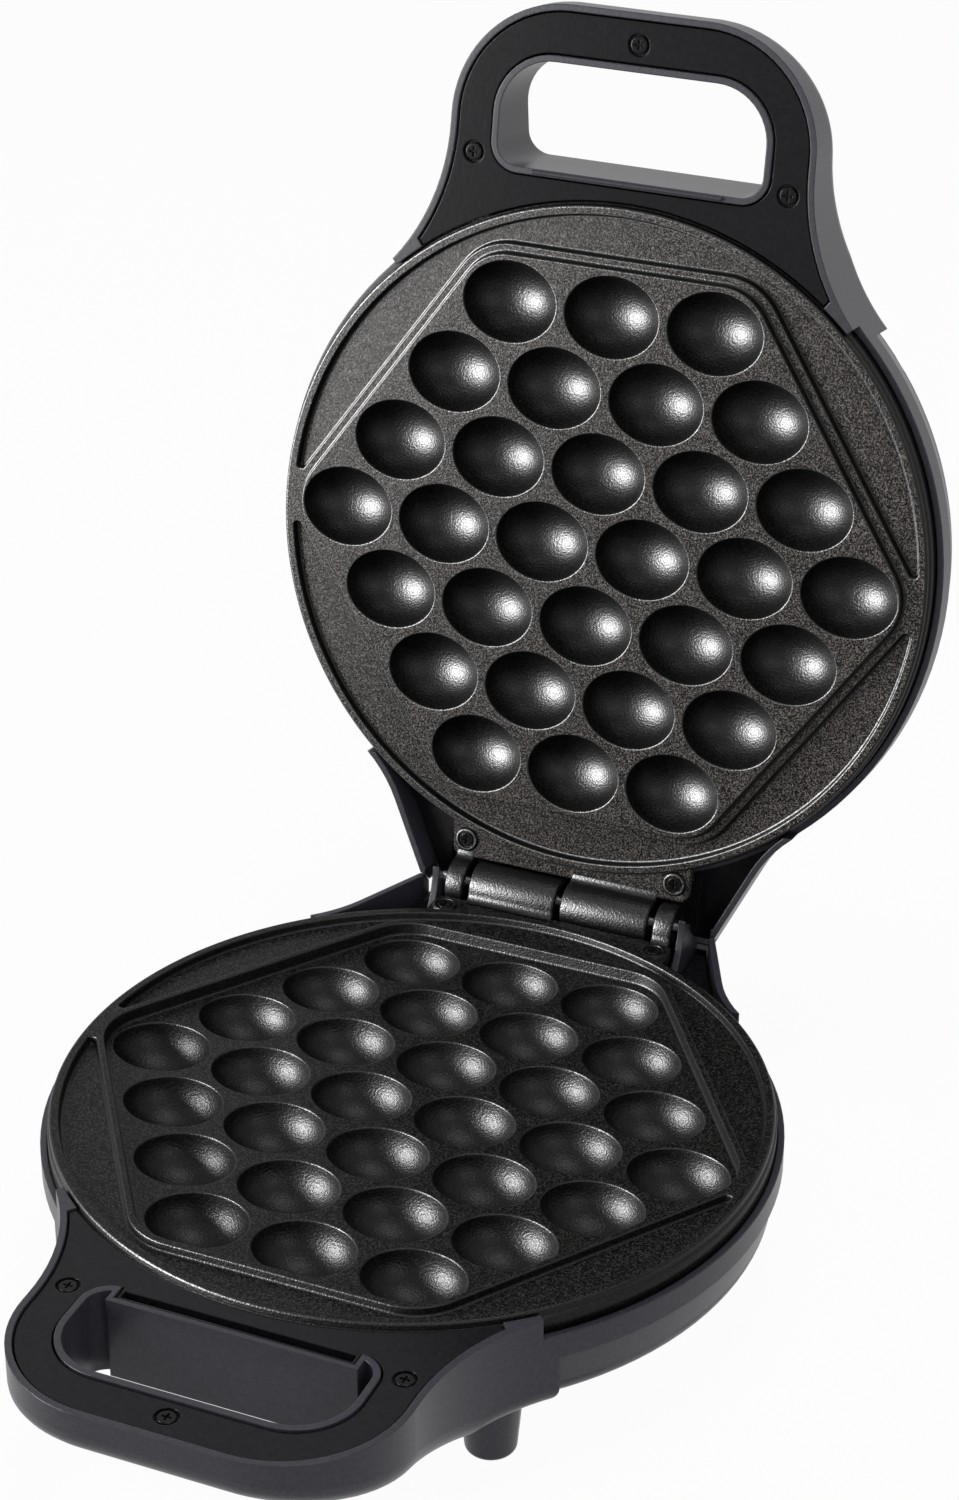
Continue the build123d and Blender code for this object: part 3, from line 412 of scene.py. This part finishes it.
def segment(side, end):
    """Outline of the rear sunk segment, between the rim and a hexagon, its two ends cut square and
    rounded. Normals point into the segment, so that a wall's distances grow inward."""
    narrow, top, lean = field_corner(side, end)
    tip = TIP_LINE + TIP_ROUND
    far = sqrt((RIM_INSIDE - TIP_ROUND) ** 2 - tip**2)
    near = WIDE + ((side + TIP_ROUND) - tip * sin(lean)) / cos(lean)
    turn = atan2(tip, far)
    return arcs(
        ((far, tip), TIP_ROUND, -pi / 2, turn, -1),
        ((0, 0), RIM_INSIDE, turn, pi - turn, -1),
        ((-far, tip), TIP_ROUND, pi - turn, 3 * pi / 2, -1),
        ((-near, tip), TIP_ROUND, -pi / 2, -lean, -1),
        ((-narrow, top), side, pi - lean, pi / 2, 1),
        ((narrow, top), side, pi / 2, lean, 1),
        ((near, tip), TIP_ROUND, pi + lean, 3 * pi / 2, -1),
    )


def bowls(field):
    """The thirty bubbles, as their lips and their bowls. A lip is a quarter circle carried round the
    brim, and a bowl is the lower part of an ellipsoid: (x, y) are the half axes times a ray times
    cos dip, and the depth is the third half axis times sin dip. Also gives the lips' outlines."""
    ray = circle(BUBBLE_AROUND)
    oval = BUBBLE[:2] * ray
    slope = ray / BUBBLE[:2]
    slope /= np.linalg.norm(slope, axis=1)[:, None]
    dip = np.linspace(asin(LIP / BUBBLE[2]), pi / 2, BUBBLE_DOWN)[:, None]
    brim = oval * np.cos(dip[0])
    profile = [(-out, height) for out, height in rounded_edge(0, field, LIP, ROUND_ROWS)]
    depth = np.broadcast_to(field - BUBBLE[2] * np.sin(dip), (BUBBLE_DOWN, BUBBLE_AROUND))
    bowl = np.dstack([oval[:, 0] * np.cos(dip), oval[:, 1] * np.cos(dip), depth])
    shapes = [repeated(carried((brim, slope), profile), bubbles), repeated(woven(bowl), bubbles)]
    return shapes, list(brim + LIP * slope + bubbles[:, None])


def underside(field, under):
    """Hidden underside on a polar grid: the lowest of a level face, the bubbles' ellipsoid backs, the
    ring that holds the heater and the middle pad. The heater's groove is a half round in the ring. The
    outer row joins the skirt at the level face, and the middle row closes at one height."""
    r = np.linspace(SKIRT_INSIDE, 0, HIDDEN_ROWS)[:, None]
    a = np.arange(AROUND) * 2 * pi / AROUND
    x, y = r * np.cos(a), r * np.sin(a)
    z = np.full(x.shape, under)
    back = BUBBLE + BUBBLE_SKIN
    for centre_x, centre_y in bubbles:
        share = ((x - centre_x) / back[0]) ** 2 + ((y - centre_y) / back[1]) ** 2
        z = np.minimum(z, field - back[2] * np.sqrt(np.clip(1 - share, 0, 1)))
    off = np.broadcast_to(np.abs(r - HEATER_RING), z.shape)
    groove = HEATER_LOW + np.sqrt(np.clip(HEATER_TUBE**2 - off**2, 0, None))
    z = np.where(off < HEATER_HALF, np.minimum(z, HEATER_LOW), z)
    z = np.where(off < HEATER_TUBE, groove, z)
    z = np.where(r < MIDDLE_PAD, np.minimum(z, HEATER_LOW), z)
    z[0] = under
    z[-1] = z[-1].mean()
    return woven(np.dstack([x, y, z]))


def rim(under):
    """Rim and skirt, a profile turned about the middle: the rounded shoulder, a hollow step under it, and
    the skirt down and up again to the underside."""
    flange = RIM_OUTSIDE + SHOULDER
    return turned([
        *rounded_edge(flange, LAND, SHOULDER),
        (flange, FLANGE_LOW + FLANGE_BREAK),
        (flange + FLANGE_HOLLOW[0], FLANGE_LOW + FLANGE_HOLLOW[1]),
        (SKIRT_OUTSIDE - FLANGE_BREAK, FLANGE_LOW), (SKIRT_OUTSIDE, FLANGE_LOW - FLANGE_BREAK),
        (SKIRT_OUTSIDE, SKIRT_LOW), (SKIRT_INSIDE, SKIRT_LOW), (SKIRT_INSIDE, under),
    ])


def casting(raised):
    """All faces of one plate: first the curved ones (lips, bowls, steps and rim), then the plain ones,
    which are level sheets between the outlines and the hidden underside."""
    if raised:
        field, edge, sunk_edge = LAND + FIELD_UP, hexagon(*TERRACE_EDGE), segment(*TERRACE_SEGMENT)
        step = wall(field, LAND)
    else:
        field, edge, sunk_edge = LAND - FIELD_DOWN, hexagon(*WELL_EDGE), segment(*WELL_SEGMENT)
        step = [(-out, height) for out, height in wall(LAND, field)]
    first, last = (edge[0] + step[row][0] * edge[1] for row in (0, -1))
    field_edge, land_hole = (first, last) if raised else (last, first)
    under = min(field, SEGMENT_FLOOR) - PLATE_THICK
    bubble_shapes, lips = bowls(field)

    down = wall(LAND, SEGMENT_FLOOR)
    rear = carried(sunk_edge, down)
    cut, floor_edge = (sunk_edge[0] + down[row][0] * sunk_edge[1] for row in (0, -1))
    segment_floor = level(SEGMENT_FLOOR, floor_edge)
    land = level(LAND, RIM_OUTSIDE * circle(AROUND), land_hole, cut, cut * (1, -1))

    curved = [*bubble_shapes, carried(edge, step), rear, mirrored(rear), rim(under)]
    plain = [level(field, field_edge, *lips), segment_floor, mirrored(segment_floor), land,
             underside(field, under)]
    return curved, plain


# The tab, its screw rings, the knuckles on the pin, and the lugs under the handle's insert.
TAB_HALF, TAB_END, TAB_TOP, TAB_THICK = 41.0, 111.8, -1.65, 3.8
TAB_ROOT, TAB_CORNER, TAB_ROUND = RIM_INSIDE + 0.9, 3.0, 0.7
HINGE_SCREWS = ((36.2, 105.8), (-36.2, 105.8))
RING_INSIDE, RING_OUTSIDE, RING_FOOT = 2.9, 3.8, 4.2
RING_TOP, RING_DEEP = 0.8, -0.5             # from the tab's face
RING_ROUND, RING_AROUND = 0.5, 40
RING_BREAK = (0.15, 0.2)                    # bevel of a ring's inner edge, out and down
BARREL, BARREL_ROUND, BARREL_CHORD = 7.5, 0.9, 0.7
BORE, BORE_AROUND = 2.05, 32
KNUCKLES = ((-31.0, -1.0), (33.0, 39.5))    # from where to where each runs along the hinge
WEB_FILLET, WEB_IN_TAB, WEB_ROUND = 2.5, 2.4, 1.0
LUG_AT, LUG_ROOT, LUG_WIDE = 114.6, SKIRT_INSIDE + 1.0, 4.2
LUG_TOP, LUG_THICK, LUG_ROUND, LUG_TURN = -5.6, 2.0, 0.4, radians(63.0)


def hinge_tab():
    """Tab behind the rim, between two arcs of its corners and the rim's own arc."""
    x, y = TAB_HALF - TAB_CORNER, TAB_END - TAB_CORNER
    a = acos(TAB_HALF / TAB_ROOT)
    outline = arcs(((x, y), TAB_CORNER, 0, pi / 2, 1),
                   ((-x, y), TAB_CORNER, pi / 2, pi, 1),
                   ((0, 0), TAB_ROOT, pi - a, a, -1))
    return slab(outline, TAB_TOP - TAB_THICK, TAB_TOP, TAB_ROUND)


def screw_rings():
    """Raised ring round each of the tab's screws, a profile turned about the screw."""
    points, faces = turned([
        (RING_INSIDE, RING_DEEP), (RING_INSIDE, RING_TOP - RING_BREAK[1]),
        (RING_INSIDE + RING_BREAK[0], RING_TOP),
        *rounded_edge(RING_OUTSIDE, RING_TOP, RING_ROUND),
        (RING_FOOT, 0.0), (RING_FOOT, RING_DEEP), (RING_INSIDE, RING_DEEP),
    ], RING_AROUND)
    return [repeated((points + (0, 0, TAB_TOP), faces), np.array(HINGE_SCREWS))]


def knuckles():
    """Knuckles: in section, a round barrel that a web joins to the tab through hollow fillets, carried
    along the hinge's line. The pin's bore runs through."""
    fillet, reach = WEB_FILLET, BARREL + WEB_FILLET
    over, under = TAB_TOP + fillet, TAB_TOP - TAB_THICK - fillet
    a, b = asin(over / reach), asin(-under / reach)
    root = TAB_END - HINGE_AT - WEB_IN_TAB
    section = arcs(
        ((0, 0), BARREL, b - pi, pi - a, 1),
        ((-reach * cos(a), over), fillet, -a, -pi / 2, -1),
        ((root, TAB_TOP - WEB_ROUND), WEB_ROUND, pi / 2, pi, 1),
        ((root, TAB_TOP - TAB_THICK + WEB_ROUND), WEB_ROUND, pi, 3 * pi / 2, 1),
        ((-reach * cos(b), under), fillet, pi / 2, b, -1),
        chord=BARREL_CHORD,
    )
    ray = circle(BORE_AROUND)
    shapes = []
    for start, end in KNUCKLES:
        for points, faces in slab(section, start, end, BARREL_ROUND, (BORE * ray, ray)):
            y, z, x = points.T
            shapes.append((np.stack([x, y + HINGE_AT, z], 1), faces))
    return shapes


def lugs():
    """Two flat lugs under the handle's insert, each a bar with a round end for a screw."""
    outline = arcs(((LUG_AT, 0), LUG_WIDE, -pi / 2, pi / 2, 1),
                   ((LUG_ROOT, 0), LUG_WIDE, pi / 2, pi / 2, 1),
                   ((LUG_ROOT, 0), LUG_WIDE, -pi / 2, -pi / 2, 1))
    shapes = []
    for turn in (-LUG_TURN, LUG_TURN - pi):
        c, s = cos(turn), sin(turn)
        for points, faces in slab(outline, LUG_TOP - LUG_THICK, LUG_TOP, LUG_ROUND):
            x, y, z = points.T
            shapes.append((np.stack([c * x - s * y, s * x + c * y, z], 1), faces))
    return shapes


def cast(node, body, place, coats, curved, plain):
    """One casting from shapes in a half's own millimetres, in place of its node: set in its place, its
    doubles merged, faces turned outward, and shaded smooth but for its level faces. The plain shapes
    take the first coat, and the curved ones the second, whose black is painted shade in the bowls, the
    walls and the rim."""
    shapes = curved + plain
    starts = np.cumsum([0] + [len(points) for points, _ in shapes])
    faces = [face for start, shape in zip(starts, shapes) for face in (shape[1] + start).tolist()]
    mesh = bpy.data.meshes.new(node + "_casting")
    mesh.from_pydata(place(np.concatenate([points for points, _ in shapes])) * MM, [], faces)
    is_curved = np.arange(len(faces)) < sum(len(f) for _, f in curved)
    mesh.polygons.foreach_set("material_index", is_curved.astype(int))
    work = bmesh.new()
    work.from_mesh(mesh)
    bmesh.ops.remove_doubles(work, verts=work.verts, dist=MERGED * MM)
    bmesh.ops.recalc_face_normals(work, faces=work.faces)
    work.to_mesh(mesh)
    work.free()
    upright = place(np.array([(0, 0, 1), (0, 0, 0)]))
    normals = np.zeros(len(mesh.polygons) * 3)
    mesh.polygons.foreach_get("normal", normals)
    lean = np.abs(normals.reshape(-1, 3) @ (upright[0] - upright[1]))
    mesh.polygons.foreach_set("use_smooth", lean < UPRIGHT)
    for coat in coats:
        mesh.materials.append(coat)
    piece = bpy.data.objects.new(node + "_casting", mesh)
    bpy.context.collection.objects.link(piece)
    glossy_plates.objects.link(piece)
    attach(piece, body)
    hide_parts(node)


# The two plates have one coating, drawn as lit and shaded copies of it. The upper plate's coat is made
# lighter for the light on the lid's face, which is painted light, and its light specks are partly the
# coating's grain and partly painted glints. The lower plate's coat is made darker for the base plate,
# which is painted shade.
lit_upper_coat = grained("plate_coating_upper_painted_light", grain=0.00050, relief=0.00008, dark=(0.008, 0.0072, 0.0068),
                     light=(0.215, 0.196, 0.184), cuts=(0.46, 0.67), rough=(0.22, 0.34), specular=0.035)
shaded_lower_coat = grained("plate_coating_lower_painted_shade", grain=0.00050, relief=0.00008, dark=(0.002, 0.002, 0.002),
                     light=(0.050, 0.048, 0.046), cuts=(0.47, 0.70), rough=(0.26, 0.40), specular=0.08)
# The third copy, on the bubbles, the steps' walls and the rim of both plates, is darker and glossier: its
# black in those hollows and walls is painted shade. The knuckles and the screw rings take it for its
# gloss.
shaded_gloss_coat = grained("plate_coating_painted_shade_gloss", grain=0.00065, relief=0.00016, dark=(0.001, 0.001, 0.001),
                    light=(0.010, 0.009, 0.008), cuts=(0.46, 0.68), rough=(0.28, 0.46), specular=0.16)
for node, body, place, raised, coat in (
    ("lower_plate", "base", on_base, False, shaded_lower_coat),
    ("upper_plate", "lid", on_lid, True, lit_upper_coat),
):
    curved, plain = casting(raised)
    cast(node, body, place, (coat, shaded_gloss_coat),
         curved + knuckles() + screw_rings(), plain + hinge_tab() + lugs())

# Hinge pin and heater fixings. The pin is drawn steel rod, and the clamps are bent from steel strip and
# held by plated steel screws. All are bright, with faint drawing marks.
steel = grained("steel_bright", grain=0.001, relief=0.00001, dark=(0.45, 0.45, 0.45),
                light=(0.55, 0.55, 0.55), rough=(0.2, 0.4), specular=0.5, metal=1.0)
dress(steel, "hinge_pin", "lower_heater_clamps", "upper_heater_clamps", "lower_clamp_screws",
      "upper_clamp_screws")

# Heaters. Each is a steel tube bent to a ring, pressed into the plate's groove. Heat has left its skin
# brown and dull, in patches.
sheath = grained("steel_sheath", grain=0.004, relief=0.00002, dark=(0.08, 0.07, 0.06),
                 light=(0.20, 0.18, 0.16), rough=(0.4, 0.6), specular=0.4, metal=0.7)
dress(sheath, "lower_heater", "upper_heater")

# Reflectors. Shallow pans pressed from bright aluminium sheet, which send the heat back to the plates.
# The sheet is faintly mottled, and each pan sits on three posts of its casing.
aluminium = grained("aluminium_sheet", grain=0.003, relief=0.00003, dark=(0.60, 0.60, 0.61),
                    light=(0.70, 0.70, 0.71), rough=(0.3, 0.45), specular=0.5, metal=1.0)
dress(aluminium, "lower_reflector", "upper_reflector")

# Screws. Cross-head screws of steel with a black oxide skin. They hold the plates' tabs and lugs and the
# handles' inserts to the casings.
black = grained("screw_black", grain=0.0005, relief=0.00001, dark=(0.004, 0.004, 0.004),
                light=(0.008, 0.008, 0.008), rough=0.20, specular=0.12, edge=0.0003)
dress(black, "lower_handle_screws", "upper_handle_screws", "lower_hinge_screws",
      "upper_hinge_screws", "lower_front_screws", "upper_front_screws")

# Ceramic parts. Thermostats, thermal fuses and terminal blocks have bodies of pressed, fired ceramic,
# which is off-white and faintly grainy.
ceramic = grained("ceramic", grain=0.001, relief=0.00002, dark=(0.66, 0.64, 0.58),
                  light=(0.74, 0.72, 0.66), rough=0.5, specular=0.5)
dress(ceramic, "lower_thermostat", "upper_thermostat", "lower_thermal_fuse", "upper_thermal_fuse",
      "lower_terminal_block", "upper_terminal_block")

# Leads. Wires in sleeves woven from glass fibre, with a coarse, dull weave. They run from the terminal
# blocks to the ends of the heaters.
sleeve = grained("glass_sleeve", grain=0.0006, relief=0.00008, dark=(0.45, 0.43, 0.38),
                 light=(0.70, 0.68, 0.62), rough=0.8, specular=0.3)
dress(sleeve, "lower_leads", "upper_leads")

# Signal lenses and lamps. Two tinted lenses moulded in clear plastic snap into the lid's outside, and
# behind each sits a small lamp with a frosted glass bulb. The tint has slight flow marks.
red = grained("lens_red", grain=0.003, relief=0.00001, dark=(0.50, 0.012, 0.008),
              light=(0.66, 0.03, 0.015), rough=(0.06, 0.16), specular=0.5)
dress(red, "lens_heating")
green = grained("lens_green", grain=0.003, relief=0.00001, dark=(0.012, 0.32, 0.04),
                light=(0.03, 0.46, 0.06), rough=(0.06, 0.16), specular=0.5)
dress(green, "lens_ready")
glass = grained("lamp_glass", grain=0.001, relief=0.00001, dark=(0.75, 0.75, 0.72),
                light=(0.85, 0.85, 0.83), rough=(0.15, 0.3), specular=0.5)
dress(glass, "indicator_lamps")
